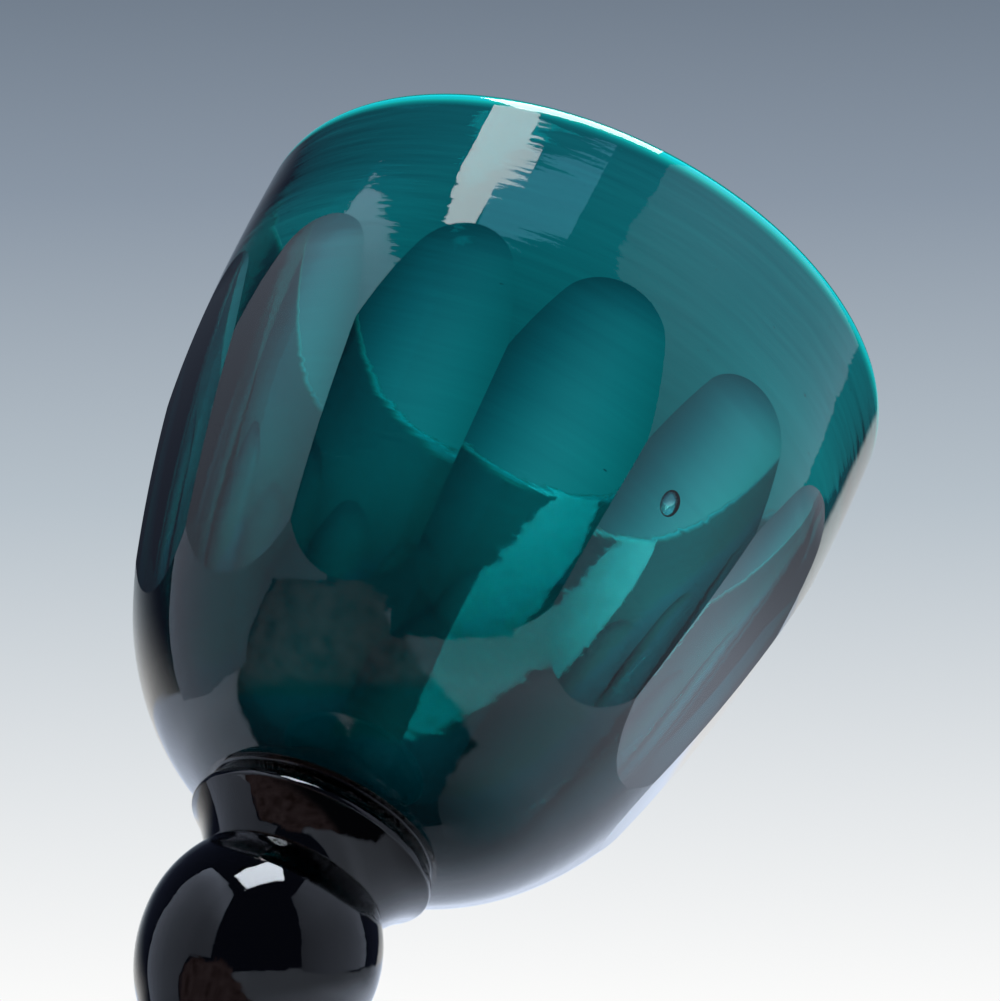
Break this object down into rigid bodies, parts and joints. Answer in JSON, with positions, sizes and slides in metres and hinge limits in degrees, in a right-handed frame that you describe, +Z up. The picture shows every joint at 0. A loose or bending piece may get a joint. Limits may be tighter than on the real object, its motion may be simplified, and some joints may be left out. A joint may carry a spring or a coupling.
{
  "type": "wine goblet",
  "caption": "Deep green glass goblet: an ovoid bowl with upright slice cuts on a creased collar, a baluster stem that narrows to a waist and a wide conical foot.",
  "frame": {"origin": "on the table, under the middle of the foot", "axes": "+Z up the goblet's axis to the rim; one slice of the bowl faces -Y"},
  "size_m": [0.08, 0.08, 0.15],
  "materials": {
    "foot_glass": "polished deep green glass",
    "stem_glass": "polished, so thick that it looks black",
    "collar_glass": "polished, nearly black",
    "bowl_glass": "polished deep green glass with ground and polished slices"
  },
  "bodies": {
    "root": {"foot": "foot_glass", "baluster_stem": "stem_glass", "bowl_collar": "collar_glass", "bowl": "bowl_glass"}
  },
  "joints": []
}
